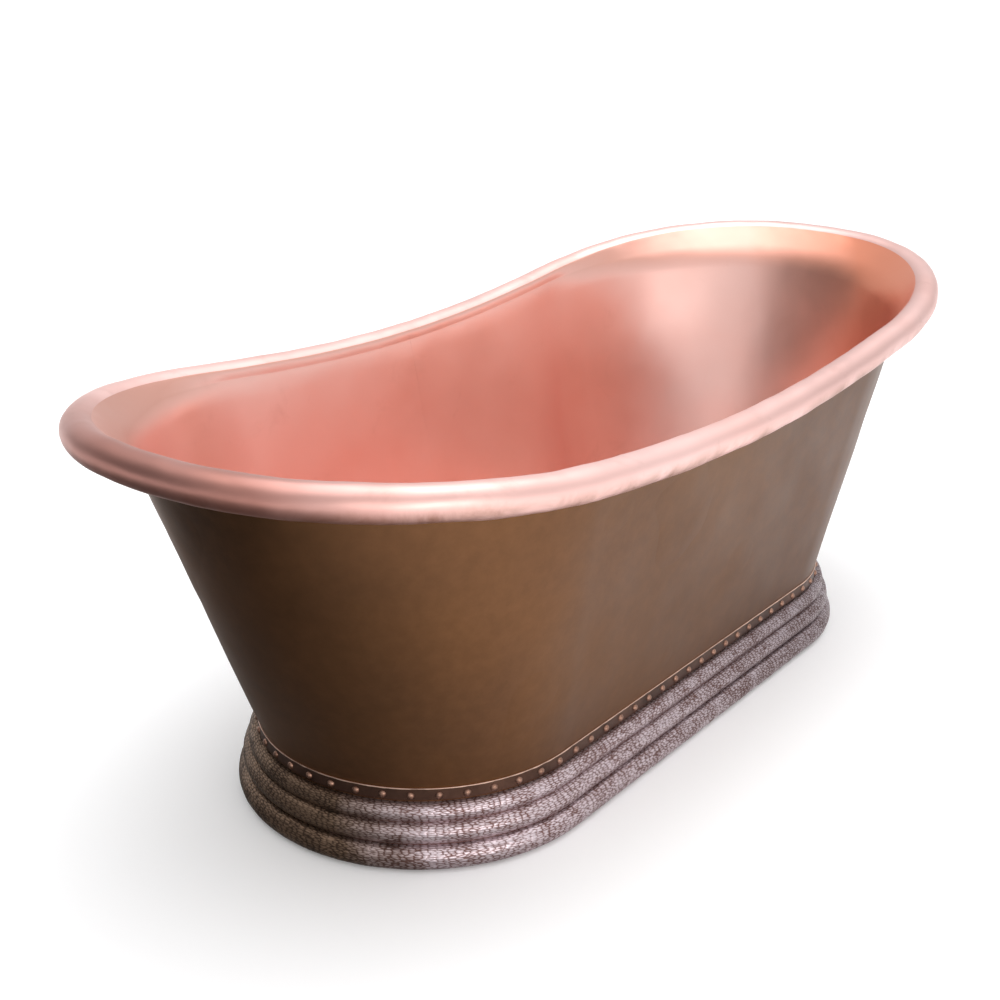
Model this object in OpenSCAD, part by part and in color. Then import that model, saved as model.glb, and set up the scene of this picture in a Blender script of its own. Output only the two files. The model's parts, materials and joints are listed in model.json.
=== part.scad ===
// Freestanding double-slipper copper bathtub on a riveted, three-bead plinth.
// Frame: origin on the floor under the centre of the base, +X along the tub, +Z up.

/* [Tub] */
// Overall length over the rolled rim
tub_l = 1830; // [1700:10:1900]
// Overall width over the rolled rim
tub_w = 794; // [740:2:840]
// Height of the rim's top at mid length
tub_h = 594; // [560:2:620]
// Extra height of the rim at each slipper end
end_rise = 85; // [40:5:110]
// Steepness of the rise: larger values flatten the ends
rise_angle = 126; // [100:2:150]
// Half length of the straight stretch of each long side, at the rim
rim_straight = 430; // [380:5:460]
// Superellipse exponent of the rounded ends, at the rim
rim_power = 2.23; // [2.05:0.01:2.6]

/* [Rim] */
// Diameter of the rolled rim
rim_d = 51; // [46:1:56]
// Diameter of the steel rod inside the roll
rod_d = 12; // [8:1:14]

/* [Sheet] */
// Copper thickness of the basin and the rim
basin_t = 1.6; // [1.2:0.1:2.2]
// Copper thickness of the outer jacket
jacket_t = 1.2; // [0.9:0.1:1.5]
// Air gap between the jacket and the basin
wall_gap = 6; // [5:0.5:8]
// How far in from the rim's centreline the wall runs up to it along the straight sides
side_inset = 16; // [14:1:24]
// The same at the ends, where the basin's lip slopes in from the roll
end_inset = 49; // [42:1:56]
// Radius where the basin's floor turns up to its wall
floor_fillet = 30; // [24:1:40]

/* [Plinth] */
// Half length of the straight stretch of each long side, at the base
base_straight = 377; // [340:1:390]
// Radius of the base's round ends, at the rivet band
base_r = 266; // [250:1:275]
// Height of the rivet band's top edge
band_top = 122; // [118:1:126]
// Height of the rivet band
band_h = 19; // [17:1:20]
// Number of rivets
rivet_count = 78; // [60:2:90]
// Diameter of a rivet's domed head
rivet_d = 12; // [9:0.5:13]
// Copper thickness of the plinth skirt
skirt_t = 2; // [1.5:0.1:2.4]

/* [Waste and feet] */
// Radius of the waste tailpiece
tail_r = 19; // [18.5:0.1:19.2]
// Radius of the basin's waste hole
waste_hole_r = 26; // [25.5:0.1:27]
// Radius of the levelling studs
stud_r = 6; // [5:0.5:7]

/* [Hidden] */
$fn = 64;

fit = 0.1;                              // gap between pieces that touch
running = 0.05;                         // radial clearance of a shaft in its hole
rim_r = rim_d / 2;
rim_half_l = tub_l / 2 - rim_r;         // rim centreline, half length
rim_half_w = tub_w / 2 - rim_r;         // rim centreline, half width
rim_end = rim_half_l - rim_straight;    // length of a rounded end
rim_low = tub_h - rim_r;                // lowest height of the rim's centreline
band_t = 1.5;
jacket_r = base_r - band_t - fit;       // outer face of the jacket's hem
ring_t = 4;
ring_r = jacket_r - jacket_t - 4 * fit; // outer face of the base ring
band_bottom = band_top - band_h;
skirt_top = band_bottom - 2.5;           // leaves a shadow gap under the band
ring_bottom = band_top - 32;
ring_ledge = 25;
rivet_z = band_top - 11;

end_steps = 36;                         // stations round each end
side_steps = 12;                        // stations along each straight side
seam_share = 0.5 * fit / base_straight; // half the gap of a seam at mid length

// ---------- outlines ----------

// Stations round the tub: [direction of the outward normal, place along the straight side].
stations = concat(
    [for (i = [0:end_steps]) [-90 + 180 * i / end_steps, 1]],
    [for (i = [1:side_steps - 1]) [90, 1 - 2 * i / side_steps]],
    [for (i = [0:end_steps]) [90 + 180 * i / end_steps, -1]],
    [for (i = [1:side_steps - 1]) [270, -1 + 2 * i / side_steps]]);

// Stations of the half at +X, from the middle of one long side to the middle of the other.
half_stations = concat(
    [for (i = [side_steps / 2:-1:1]) [-90, max(1 - 2 * i / side_steps, seam_share)]],
    [for (i = [0:end_steps]) [-90 + 180 * i / end_steps, 1]],
    [for (i = [1:side_steps / 2]) [90, max(1 - 2 * i / side_steps, seam_share)]]);

function normal(st) = [cos(st[0]), sin(st[0]), 0];

// Point of a superellipse whose outward normal has the direction phi.
function end_point(phi, ex, ey, power) =
    let (c = abs(cos(phi)), s = abs(sin(phi)))
    c < 0.000001 ? [0, sign(sin(phi)) * ey] :
    let (w = pow(s / c * ey / ex, 1 / (power - 1)),
         k = pow(1 + pow(w, power), -1 / power))
    [sign(cos(phi)) * ex * k, sign(sin(phi)) * ey * w * k];

function rim_rise(x) =
    end_rise * (1 - cos(rise_angle * min(abs(x) / rim_half_l, 1))) / (1 - cos(rise_angle));

// Rim centreline at a station.
function rim_point(st) =
    let (p = end_point(st[0], rim_end, rim_half_w, rim_power), x = p[0] + st[1] * rim_straight)
    [x, p[1], rim_low + rim_rise(x)];

// Stadium outline of radius r at a station.
function base_point(st, r, z) =
    [st[1] * base_straight + r * cos(st[0]), r * sin(st[0]), z];

// Share of the way from the form of the sides (0) to that of the ends (1).
function end_share(st) = 1 - pow(1 - abs(cos(st[0])), 2);

// A size that changes smoothly from the sides to the ends.
function between(st, side, end) = side + (end - side) * end_share(st);

// Point of the wall at height z, moved in by e from the jacket's outer face.
function wall_point(st, z, e) =
    let (c = rim_point(st),
         foot = base_point(st, jacket_r, band_top),
         head = c - between(st, side_inset, end_inset) * normal(st),
         f = (z - band_top) / (head[2] - band_top),
         p = foot + (head - foot) * f)
    [p[0], p[1], z] - e * normal(st);

// Point beside the rim's centreline: out along the normal and up.
function rim_side(st, out, up) = rim_point(st) + out * normal(st) + [0, 0, up];

// Point of the roll's section at an angle, measured from outward towards up.
function roll_point(st, r, angle) = rim_side(st, r * cos(angle), r * sin(angle));

function bezier(a, b, c, t) = a * (1 - t) * (1 - t) + b * 2 * t * (1 - t) + c * t * t;

// ---------- lofts ----------

// Closed solid from rings of points: each ring goes round the tub, and the list of rings goes
// round the section.
module loft(rings) {
    count = len(rings);
    n = len(rings[0]);
    polyhedron(
        points = [for (ring = rings) each ring],
        faces = [for (k = [0:count - 1]) for (i = [0:n - 1])
            let (k2 = (k + 1) % count, i2 = (i + 1) % n)
            each [[k * n + i, k2 * n + i2, k * n + i2], [k * n + i, k2 * n + i, k2 * n + i2]]],
        convexity = 12);
}

// Closed solid from the inner and outer rings of a bent sheet whose two ends stand apart.
module bent_sheet(inner, outer) {
    count = len(inner);
    n = len(inner[0]);
    // Number of the point at station i of ring k: the outer rings follow the inner ones backwards.
    function at(k, i) = (k % (2 * count)) * n + i;
    polyhedron(
        points = [for (ring = concat(inner, reversed(outer))) each ring],
        faces = concat(
            [for (k = [0:2 * count - 1]) for (i = [0:n - 2])
                each [[at(k, i), at(k + 1, i + 1), at(k, i + 1)],
                      [at(k, i), at(k + 1, i), at(k + 1, i + 1)]]],
            [for (k = [0:count - 2])
                let (a = 2 * count - 1 - k)
                each [[at(k, 0), at(a, 0), at(k + 1, 0)], [at(k + 1, 0), at(a, 0), at(a - 1, 0)],
                      [at(k, n - 1), at(k + 1, n - 1), at(a, n - 1)],
                      [at(k + 1, n - 1), at(a - 1, n - 1), at(a, n - 1)]]]),
        convexity = 12);
}

function reversed(list) = [for (i = [len(list) - 1:-1:0]) list[i]];

// Sweeps a section (x out from radius r, y up) round the stadium.
module stadium_sweep(r) {
    for (side = [0, 180]) rotate([0, 0, side]) {
        translate([base_straight, 0, 0]) rotate([0, 0, -90])
            rotate_extrude(angle = 180) translate([r, 0]) children();
        translate([-base_straight, 0, 0]) rotate([90, 0, 90])
            linear_extrude(2 * base_straight) translate([r, 0]) children();
    }
}

// Places children round the stadium at equal pitch, +X outward. The first stands a share of
// the way round from the middle of the +Y side.
module round_stadium(r, count, share) {
    side = 2 * base_straight;
    arc = PI * r;
    total = 2 * (side + arc);
    for (i = [0:count - 1])
        let (t = (base_straight + (share + i / count) * total) % total,
             half = t >= total / 2 ? 180 : 0,
             u = t - (half == 180 ? total / 2 : 0),
             phi = u < side ? 90 : 90 + (u - side) / arc * 180,
             x = u < side ? base_straight - u : -base_straight)
        rotate([0, 0, half]) translate([x, 0, 0]) rotate([0, 0, phi]) translate([r, 0, 0])
            children();
}

// ---------- basin, jacket and rim ----------

cove_drop = 36;                          // the jacket's cove starts this far below the rim's centre
cove_knee = 26;                          // depth of the cove's bend
floor_z = band_top + 6.6;                // top of the basin's floor
dish_r = 92;
dish_seat_r = 62;
dish_depth = 4;
bend_steps = 6;
cove_steps = 4;
wall_steps = 4;
fillet_steps = 5;

// The basin's lip runs straight off the roll and bends down into the wall round a knee.
lip_knee = [10, 34];                     // depth of the knee below the rim's centre, sides and ends
lip_drop = [30, 58];                     // depth at which the bend reaches the wall, sides and ends
lip_bend = 0.38;                         // share of the lip that the bend takes up

// The roll's section starts at the basin's lip, goes over the top and ends beside the jacket.
roll_start = 138;
roll_end = -142;
seam = 0.5;                              // angle between the roll's edge and the basin's

// One face of a basin wall sheet from the rim down to the floor pan: e is how far it lies in from
// the jacket's face, low how far it lies below the sheet's upper side.
function basin_wall_face(e, low) = concat(
    [[for (st = half_stations) roll_point(st, rim_r - low, roll_start + seam)]],
    [for (k = [0:bend_steps]) [for (st = half_stations)
        let (c = rim_point(st)[2],
             edge = roll_point(st, rim_r - low, roll_start + seam),
             knee = wall_point(st, c - between(st, lip_knee[0], lip_knee[1]), e),
             end = wall_point(st, c - between(st, lip_drop[0], lip_drop[1]), e))
        bezier(knee + (edge - knee) * lip_bend, knee, end, k / bend_steps)]],
    [for (k = [1:wall_steps]) [for (st = half_stations)
        let (c = rim_point(st)[2] - between(st, lip_drop[0], lip_drop[1]), f = k / wall_steps)
        wall_point(st, c * (1 - f) + (floor_z + floor_fillet + fit) * f, e)]]);

// One face of the floor pan, from its upturned edge to the waste hole.
function basin_floor_face(e, low) = concat(
    [for (k = [0:fillet_steps]) [for (st = stations)
        let (a = 90 * k / fillet_steps, r = floor_fillet + low)
        wall_point(st, floor_z - low + r * (1 - sin(a)), e + r * (1 - cos(a)))]],
    [for (ring = [[dish_r, 0], [dish_seat_r, dish_depth], [waste_hole_r - 4, dish_depth]])
        [for (st = stations)
            let (b = base_point(st, base_r, 0), a = atan2(b[1], b[0]))
            [ring[0] * cos(a), ring[0] * sin(a), floor_z - low - ring[1]]]]);

basin_out = jacket_t + wall_gap;         // outer face of the basin, in from the jacket's face
basin_in = basin_out + basin_t;          // inner face

// The wall is two sheets, each bent round one end, that meet at mid length.
module basin_wall(i) {
    color([0.84, 0.52, 0.44])
        rotate([0, 0, 180 * i])
            bent_sheet(basin_wall_face(basin_in, 0), basin_wall_face(basin_out, basin_t));
}

module basin_floor() {
    color([0.84, 0.52, 0.44])
    difference() {
        loft(concat(basin_floor_face(basin_in, 0), reversed(basin_floor_face(basin_out, basin_t))));
        translate([0, 0, floor_z - 20]) cylinder(r = waste_hole_r, h = 40);
    }
}

// One face of the jacket, from its hem up to the underside of the roll.
function jacket_face(e) = concat(
    [for (z = [skirt_top + fit, band_top]) [for (st = stations) base_point(st, jacket_r - e, z)]],
    [for (k = [1:wall_steps]) [for (st = stations)
        let (top = rim_point(st)[2] - cove_drop)
        wall_point(st, band_top + (top - band_top) * k / wall_steps, e)]],
    [for (k = [1:cove_steps]) [for (st = stations)
        let (c = rim_point(st)[2])
        bezier(wall_point(st, c - cove_drop, e), wall_point(st, c - cove_knee, e),
               roll_point(st, rim_r + fit, 222 - 3 * e), k / cove_steps)]]);

module jacket() {
    color([0.33, 0.22, 0.15])
    difference() {
        loft(concat(jacket_face(0), reversed(jacket_face(jacket_t))));
        rivet_holes();
    }
}

module rim_roll() {
    steps = 16;
    function arc(r) = [for (k = [0:steps]) [for (st = stations)
        roll_point(st, r, roll_start + (roll_end - roll_start) * k / steps)]];
    color([0.85, 0.55, 0.47])
        loft(concat(arc(rim_r), reversed(arc(rim_r - basin_t))));
}

module rim_core_rod() {
    sides = 8;
    color("dimgray")
        loft([for (k = [0:sides - 1]) [for (st = stations)
            rim_side(st, rod_d / 2 * cos(360 * k / sides),
                     rod_d / 2 * sin(360 * k / sides) - (rim_r - basin_t - rod_d / 2 - 0.5))]]);
}

// ---------- plinth ----------

// Beads of the skirt: [out from base_r, height, radius], from the top down.
beads = [[0, skirt_top - 15.5, 15.5], [8, 56.5, 17.5], [14, 20.5, 20.5]];
hem_w = 14;

module bead_stack(shrink, left) {
    top = skirt_top - shrink;
    fill = shrink > 0 ? 4 : 0;           // keeps the sheet thin where two beads meet
    polygon([[left, shrink], [beads[2][0], shrink], [beads[2][0] + fill, beads[2][1]],
             [beads[1][0] + fill, beads[1][1]], [beads[0][0] + fill, beads[0][1]],
             [beads[0][0], top], [left, top]]);
    for (b = beads) translate([b[0], b[1]]) circle(b[2] - shrink);
}

module plinth_skirt() {
    top_flange = ring_r + fit - base_r;
    color([0.50, 0.40, 0.37])
    difference() {
        stadium_sweep(base_r) difference() {
            bead_stack(0, -hem_w);
            bead_stack(skirt_t, -40);
            translate([-40, skirt_t]) square([40 + top_flange, skirt_top]);
        }
        skirt_screw_places() translate([0, 0, -1]) cylinder(r = 2.1, h = 10);
    }
}

module rivet_band() {
    color([0.30, 0.19, 0.14])
    difference() {
        stadium_sweep(base_r) translate([-band_t, band_bottom]) square([band_t, band_h]);
        rivet_holes();
    }
}

rivet_shank_r = 2.4;

module rivet_places() {
    translate([0, 0, rivet_z]) round_stadium(base_r, rivet_count, 0.5 / rivet_count) children();
}

module rivet_holes() {
    rivet_places() rotate([0, 90, 0])
        translate([0, 0, -12]) cylinder(r = rivet_shank_r + fit, h = 16);
}

module rivets() {
    grip = base_r - ring_r + ring_t;
    head_h = rivet_d * 0.38;
    dome_r = (rivet_d * rivet_d / 4 + head_h * head_h) / (2 * head_h);
    color([0.62, 0.40, 0.30])
    rivet_places() rotate([0, 90, 0]) union() {
        intersection() {
            translate([0, 0, head_h - dome_r + fit]) sphere(dome_r);
            translate([0, 0, fit]) cylinder(d = rivet_d + 2, h = head_h + 1);
        }
        translate([0, 0, -grip - 1]) cylinder(r = rivet_shank_r, h = grip + 1.5);
        translate([0, 0, -grip - 2.5]) cylinder(r = 4.2, h = 2.4);
    }
}

module base_ring() {
    color("dimgray")
    difference() {
        stadium_sweep(ring_r) union() {
            translate([-ring_t, ring_bottom]) square([ring_t, band_top - ring_bottom]);
            translate([-ring_t - ring_ledge, ring_bottom]) square([ring_t + ring_ledge, ring_t]);
        }
        rivet_holes();
    }
}

floor_ring_z = skirt_t + fit;
floor_ring_t = 5;
floor_ring_top = floor_ring_z + floor_ring_t;

module floor_ring() {
    color("dimgray")
    difference() {
        stadium_sweep(base_r) translate([-20, floor_ring_z]) square([34, floor_ring_t]);
        skirt_screw_places() cylinder(r = 2.1, h = 20);
    }
}

module skirt_screw_places() {
    round_stadium(base_r - 10, 12, 1 / 24) children();
}

module skirt_screws() {
    color("silver")
    skirt_screw_places() {
        translate([0, 0, 0.4]) cylinder(r = 2, h = floor_ring_top);
        translate([0, 0, floor_ring_top + fit]) cylinder(r = 4, h = 2.4);
    }
}

// Square-tube posts between the floor ring and the base ring.
module frame_post(i) {
    w = 20;
    wall = 2;
    z = floor_ring_top + fit;
    color("gray")
    round_stadium(base_r - 5, 1, (i + 0.5) / 8)
        translate([0, 0, z]) difference() {
            translate([-w / 2, -w / 2, 0]) cube([w, w, ring_bottom - fit - z]);
            translate([-w / 2 + wall, -w / 2 + wall, -1]) cube([w - 2 * wall, w - 2 * wall, 100]);
        }
}

// ---------- bearers ----------

bearer_x = [-330, -125, 125, 330];
bearer_w = 30;
bearer_z = ring_bottom + ring_t + fit;
bearer_half_l = ring_r - ring_t - 6;
pad_t = 3.5;

module bearer(i) {
    wall = 2.5;
    h = band_top - bearer_z;
    color("gray")
    translate([bearer_x[i], 0, bearer_z]) difference() {
        translate([-bearer_w / 2, -bearer_half_l, 0]) cube([bearer_w, 2 * bearer_half_l, h]);
        translate([-bearer_w / 2 + wall, -bearer_half_l - 1, wall])
            cube([bearer_w - 2 * wall, 2 * bearer_half_l + 2, h - 2 * wall]);
    }
}

module bearer_pad(i) {
    w = 26;
    color([0.12, 0.12, 0.12])
    translate([bearer_x[i] - w / 2, -190, band_top + fit])
        cube([w, 380, floor_z - basin_t - band_top - 2 * fit]);
}

// ---------- waste ----------

dish_top = floor_z - dish_depth;
dish_under = dish_top - basin_t;
flange_z = dish_top + 1.1;
flange_t = 3;
flange_r = 35;
barrel_r = 24;
barrel_bore = 20;
barrel_bottom = band_top - 44;
hub_z = band_top - 19;
hub_h = 12;
stem_r = 4;
seat_z = flange_z + flange_t;

module ring(r, bore, h) {
    difference() {
        cylinder(r = r, h = h);
        translate([0, 0, -1]) cylinder(r = bore, h = h + 2);
    }
}

module drain_body() {
    color([0.80, 0.50, 0.40]) {
        difference() {
            union() {
                translate([0, 0, flange_z]) cylinder(r = flange_r, h = flange_t);
                translate([0, 0, barrel_bottom])
                    cylinder(r = barrel_r, h = flange_z - barrel_bottom + 1);
            }
            translate([0, 0, barrel_bottom - 1]) cylinder(r = barrel_bore, h = 60);
        }
        difference() {
            translate([0, 0, hub_z]) union() {
                cylinder(r = 7, h = hub_h);
                for (a = [0, 90]) rotate([0, 0, a])
                    translate([-barrel_bore - 1, -2, 2]) cube([2 * barrel_bore + 2, 4, 5]);
            }
            translate([0, 0, hub_z - 1]) cylinder(r = stem_r + running, h = hub_h + 2);
        }
    }
}

module drain_top_seal() {
    color([0.1, 0.1, 0.1])
    translate([0, 0, dish_top + 0.05]) ring(34, barrel_r + 2.5, flange_z - dish_top - 0.1);
}

module drain_lower_seal() {
    color([0.1, 0.1, 0.1])
    translate([0, 0, dish_under - 4.1]) ring(34, barrel_r + running, 4);
}

module drain_friction_ring() {
    color([0.55, 0.45, 0.35])
    translate([0, 0, dish_under - 5.2]) ring(33, barrel_r + running, 1);
}

module hex_nut(flats, bore, h) {
    difference() {
        cylinder(r = flats / sqrt(3), h = h, $fn = 6);
        translate([0, 0, -1]) cylinder(r = bore, h = h + 2);
    }
}

module drain_backnut() {
    color([0.78, 0.62, 0.35])
    translate([0, 0, dish_under - 15.3]) hex_nut(60, barrel_r + running, 10);
}

tail_bottom = 10;
tail_socket = 20;                        // how far the tailpiece runs up inside the barrel
shoulder_r = 22;
tail_nut_z = barrel_bottom - 12;
tail_nut_h = 20;

module tailpiece() {
    color([0.78, 0.62, 0.35])
    difference() {
        union() {
            translate([0, 0, tail_bottom]) cylinder(r = tail_r, h = tail_nut_z - tail_bottom);
            translate([0, 0, tail_nut_z])
                cylinder(r = shoulder_r, h = barrel_bottom - fit - tail_nut_z);
            translate([0, 0, barrel_bottom - 1])
                cylinder(r = barrel_bore - running, h = tail_socket);
        }
        translate([0, 0, tail_bottom - 1]) cylinder(r = tail_r - 1.5, h = 120);
    }
}

module tailpiece_nut() {
    color([0.78, 0.62, 0.35])
    translate([0, 0, tail_nut_z]) difference() {
        hex_nut(56, shoulder_r + running, tail_nut_h);
        translate([0, 0, barrel_bottom - fit - tail_nut_z])
            cylinder(r = barrel_r + running, h = tail_nut_h);
    }
}

// ---------- stopper ----------

seal_h = 2;
seat_gap = 0.3;                          // between the resting seal and the drain flange
cap_r = 31;
cap_z = seat_z + seal_h;

module stopper_seal() {
    color([0.1, 0.1, 0.1])
    translate([0, 0, seat_z + seat_gap]) ring(27, 21, seal_h - seat_gap - running);
}

module stopper_cap() {
    dome_h = 4;
    dome_r = (cap_r * cap_r + dome_h * dome_h) / (2 * dome_h);
    color([0.84, 0.54, 0.44])
    translate([0, 0, cap_z]) intersection() {
        translate([0, 0, 2 + dome_h - dome_r]) sphere(dome_r, $fn = 128);
        cylinder(r = cap_r, h = 2 + dome_h + 1);
    }
}

module stopper_stem() {
    color([0.78, 0.62, 0.35])
    translate([0, 0, hub_z - 8]) cylinder(r = stem_r, h = cap_z - hub_z + 8 - fit);
}

// ---------- levelling feet ----------

foot_pad_t = 6;
foot_pad_z = 0.6;
foot_at = [for (y = [-1, 1]) for (x = [-1, 1]) [x * 290, y * (base_r - 46)]];
plate_z = floor_ring_top + fit;
plate_t = 6;

module at_foot(i) {
    translate([foot_at[i][0], foot_at[i][1], 0]) rotate([0, 0, foot_at[i][1] < 0 ? 180 : 0])
        children();
}

module foot_plate(i) {
    color("gray")
    at_foot(i) translate([0, 0, plate_z]) difference() {
        translate([-20, -20, 0]) cube([40, 58, plate_t]);
        translate([0, 0, -1]) cylinder(r = stud_r + running, h = plate_t + 2);
    }
}

module foot_locknut(i) {
    color("silver")
    at_foot(i) translate([0, 0, plate_z + plate_t + fit]) hex_nut(19, stud_r + running, 8);
}

module foot_stud(i) {
    color("silver")
    at_foot(i) translate([0, 0, foot_pad_z + foot_pad_t + fit]) cylinder(r = stud_r, h = 56);
}

module foot_pad(i) {
    color([0.12, 0.12, 0.12])
    at_foot(i) translate([0, 0, foot_pad_z]) cylinder(r = 20, h = foot_pad_t);
}

for (i = [0:1]) basin_wall(i);
basin_floor();
jacket();
rim_roll();
rim_core_rod();
rivet_band();
rivets();
plinth_skirt();
skirt_screws();
base_ring();
floor_ring();
drain_body();
drain_top_seal();
drain_lower_seal();
drain_friction_ring();
drain_backnut();
tailpiece();
tailpiece_nut();
stopper_cap();
stopper_stem();
stopper_seal();
for (i = [0:7]) frame_post(i);
for (i = [0:3]) {
    bearer(i);
    bearer_pad(i);
    foot_plate(i);
    foot_locknut(i);
    foot_stud(i);
    foot_pad(i);
}
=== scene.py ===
"""Freestanding double-slipper copper bathtub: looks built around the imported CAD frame."""

import json
import math

import bpy
import numpy as np
from mathutils import Matrix, Vector


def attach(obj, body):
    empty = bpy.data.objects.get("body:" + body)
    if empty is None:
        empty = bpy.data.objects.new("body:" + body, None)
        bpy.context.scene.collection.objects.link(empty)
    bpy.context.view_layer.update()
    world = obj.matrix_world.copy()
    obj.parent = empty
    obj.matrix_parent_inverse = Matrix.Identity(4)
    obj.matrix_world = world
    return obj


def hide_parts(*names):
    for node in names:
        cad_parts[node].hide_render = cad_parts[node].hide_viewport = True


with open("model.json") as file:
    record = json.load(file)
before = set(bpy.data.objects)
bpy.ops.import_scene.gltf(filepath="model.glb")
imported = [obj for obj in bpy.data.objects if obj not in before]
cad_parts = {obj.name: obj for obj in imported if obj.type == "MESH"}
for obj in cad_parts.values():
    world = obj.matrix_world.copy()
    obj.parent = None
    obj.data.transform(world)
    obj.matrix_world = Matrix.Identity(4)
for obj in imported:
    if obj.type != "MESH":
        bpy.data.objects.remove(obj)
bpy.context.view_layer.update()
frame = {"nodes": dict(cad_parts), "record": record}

MM = 0.001

# ---------- dimensions of the CAD model, in mm ----------

TUB_L, TUB_W, TUB_H = 1830.0, 794.0, 594.0
END_RISE, RISE_ANGLE = 85.0, math.radians(126)
RIM_STRAIGHT, RIM_POWER = 430.0, 2.23
RIM_R = 25.5
BASIN_T, JACKET_T, WALL_GAP = 1.6, 1.2, 6.0
SIDE_INSET, END_INSET = 16.0, 49.0
COVE_DROP, COVE_KNEE, COVE_END = 36.0, 26.0, 222.0
BASE_STRAIGHT, BASE_R = 377.0, 266.0
BAND_TOP, BAND_H, BAND_T = 122.0, 19.0, 1.5
BAND_BOTTOM = BAND_TOP - BAND_H
SKIRT_TOP = BAND_BOTTOM - 2.5
SKIRT_T, HEM_W = 2.0, 14.0
FIT = 0.1
JACKET_R = BASE_R - BAND_T - FIT
FLOOR_Z, FLOOR_FILLET = BAND_TOP + 6.6, 30.0
DISH_R, DISH_SEAT_R, DISH_DEPTH, WASTE_HOLE_R = 92.0, 62.0, 4.0, 26.0
RIVETS, RIVET_D, RIVET_Z = 78, 12.0, BAND_TOP - 11
# Each bead of the skirt: how far out and up its centre is, and its radius.
BEADS = ((0.0, SKIRT_TOP - 15.5, 15.5), (8.0, 56.5, 17.5), (14.0, 20.5, 20.5))
# Angles round the rolled rim where its copper starts and ends, and the seam to the basin's lip.
ROLL_START, ROLL_END, SEAM = 138.0, -142.0, 0.1
# Depths below the rim's centreline where the lip bends most and where it meets the wall: sides, ends.
LIP_KNEE, LIP_DROP = (10.0, 34.0), (30.0, 58.0)
LIP_BEND = 0.38

HALF_L = TUB_L / 2 - RIM_R
HALF_W = TUB_W / 2 - RIM_R
RIM_END = HALF_L - RIM_STRAIGHT
RIM_LOW = TUB_H - RIM_R


# ---------- outlines ----------

def stations(end_steps, side_steps):
    """Normal angle and place along the straight side at stations round the tub."""
    end = np.linspace(-90, 90, end_steps + 1)
    side = 1 - 2 * np.arange(1, side_steps) / side_steps
    ones, ninety = np.ones_like(end), np.full_like(side, 90.0)
    angle = np.concatenate([end, ninety, end + 180, ninety + 180])
    place = np.concatenate([ones, side, -ones, -side])
    return np.radians(angle), place


def half_stations(end_steps, side_steps):
    """The same for the half at +X, from the middle of one long side to the middle of the other."""
    end = np.linspace(-90, 90, end_steps + 1)
    side = np.maximum(np.linspace(1, 0, side_steps // 2 + 1)[1:], 0.5 * FIT / BASE_STRAIGHT)
    ninety = np.full_like(side, 90.0)
    angle = np.concatenate([-ninety, end, ninety])
    place = np.concatenate([side[::-1], np.ones_like(end), side])
    return np.radians(angle), place


class Wall:
    """The tub's rim, wall and base curves at a set of stations."""

    def __init__(self, angle, place):
        self.angle, self.place = angle, place
        self.end_share = 1 - (1 - np.abs(np.cos(angle))) ** 2
        cos, sin = np.cos(self.angle), np.sin(self.angle)
        self.normal = np.stack([cos, sin, 0 * cos], 1)
        c, s = np.maximum(np.abs(cos), 1e-9), np.abs(sin)
        w = (s / c * HALF_W / RIM_END) ** (1 / (RIM_POWER - 1))
        k = (1 + w ** RIM_POWER) ** (-1 / RIM_POWER)
        x = np.sign(cos) * RIM_END * k
        y = np.sign(sin) * HALF_W * np.where(c < 1e-8, 1, w * k)
        x = np.where(c < 1e-8, 0, x) + self.place * RIM_STRAIGHT
        lift = (1 - np.cos(RISE_ANGLE * np.minimum(np.abs(x) / HALF_L, 1)))
        z = RIM_LOW + END_RISE * lift / (1 - math.cos(RISE_ANGLE))
        self.rim = np.stack([x, y, z], 1)

    def up(self, z):
        """Upward steps of a length z."""
        return np.stack([0 * self.angle, 0 * self.angle, 0 * self.angle + z], 1)

    def base(self, r, z):
        """Points of the base's outline with end radius r, at height z."""
        x = self.place * BASE_STRAIGHT + r * np.cos(self.angle)
        return np.stack([x, r * np.sin(self.angle), 0 * x + z], 1)

    def between(self, side, end):
        """A size that changes smoothly from the sides to the ends."""
        return side + (end - side) * self.end_share

    def wall(self, z, inset):
        """Points of the jacket's outer face at height z, moved in by inset."""
        foot = self.base(JACKET_R, BAND_TOP)
        head = self.rim - self.between(SIDE_INSET, END_INSET)[:, None] * self.normal
        f = ((z - BAND_TOP) / (head[:, 2] - BAND_TOP))[:, None]
        p = foot + (head - foot) * f
        p[:, 2] = z
        return p - inset * self.normal

    def roll(self, r, degrees):
        """Points at radius r from the rim's centreline, at an angle up from straight out."""
        a = math.radians(degrees)
        return self.rim + r * math.cos(a) * self.normal + self.up(r * math.sin(a))


def bezier(a, b, c, t):
    """Point at t on the curve from a to c that bends towards b."""
    return a * (1 - t) ** 2 + b * 2 * t * (1 - t) + c * t * t


def ripples(points, wavelength, seed, waves=28):
    """A smooth random field of about unit size over 3-D points, the same on every run."""
    rng = np.random.RandomState(seed)
    k = rng.normal(size=(waves, 3))
    k *= (2 * math.pi / wavelength) * rng.uniform(0.6, 1.5, (waves, 1)) / np.linalg.norm(k, axis=1)[:, None]
    phase = rng.uniform(0, 2 * math.pi, waves)
    total = np.zeros(points.shape[:-1])
    for i in range(waves):
        total += np.cos(points @ k[i] + phase[i])
    return np.clip(total / math.sqrt(waves / 2), -2, 2)


# ---------- mesh helpers ----------

SHARP_ANGLE = 50
FINE, COARSE = (240, 90), (200, 80)     # steps round an end and along a side


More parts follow.
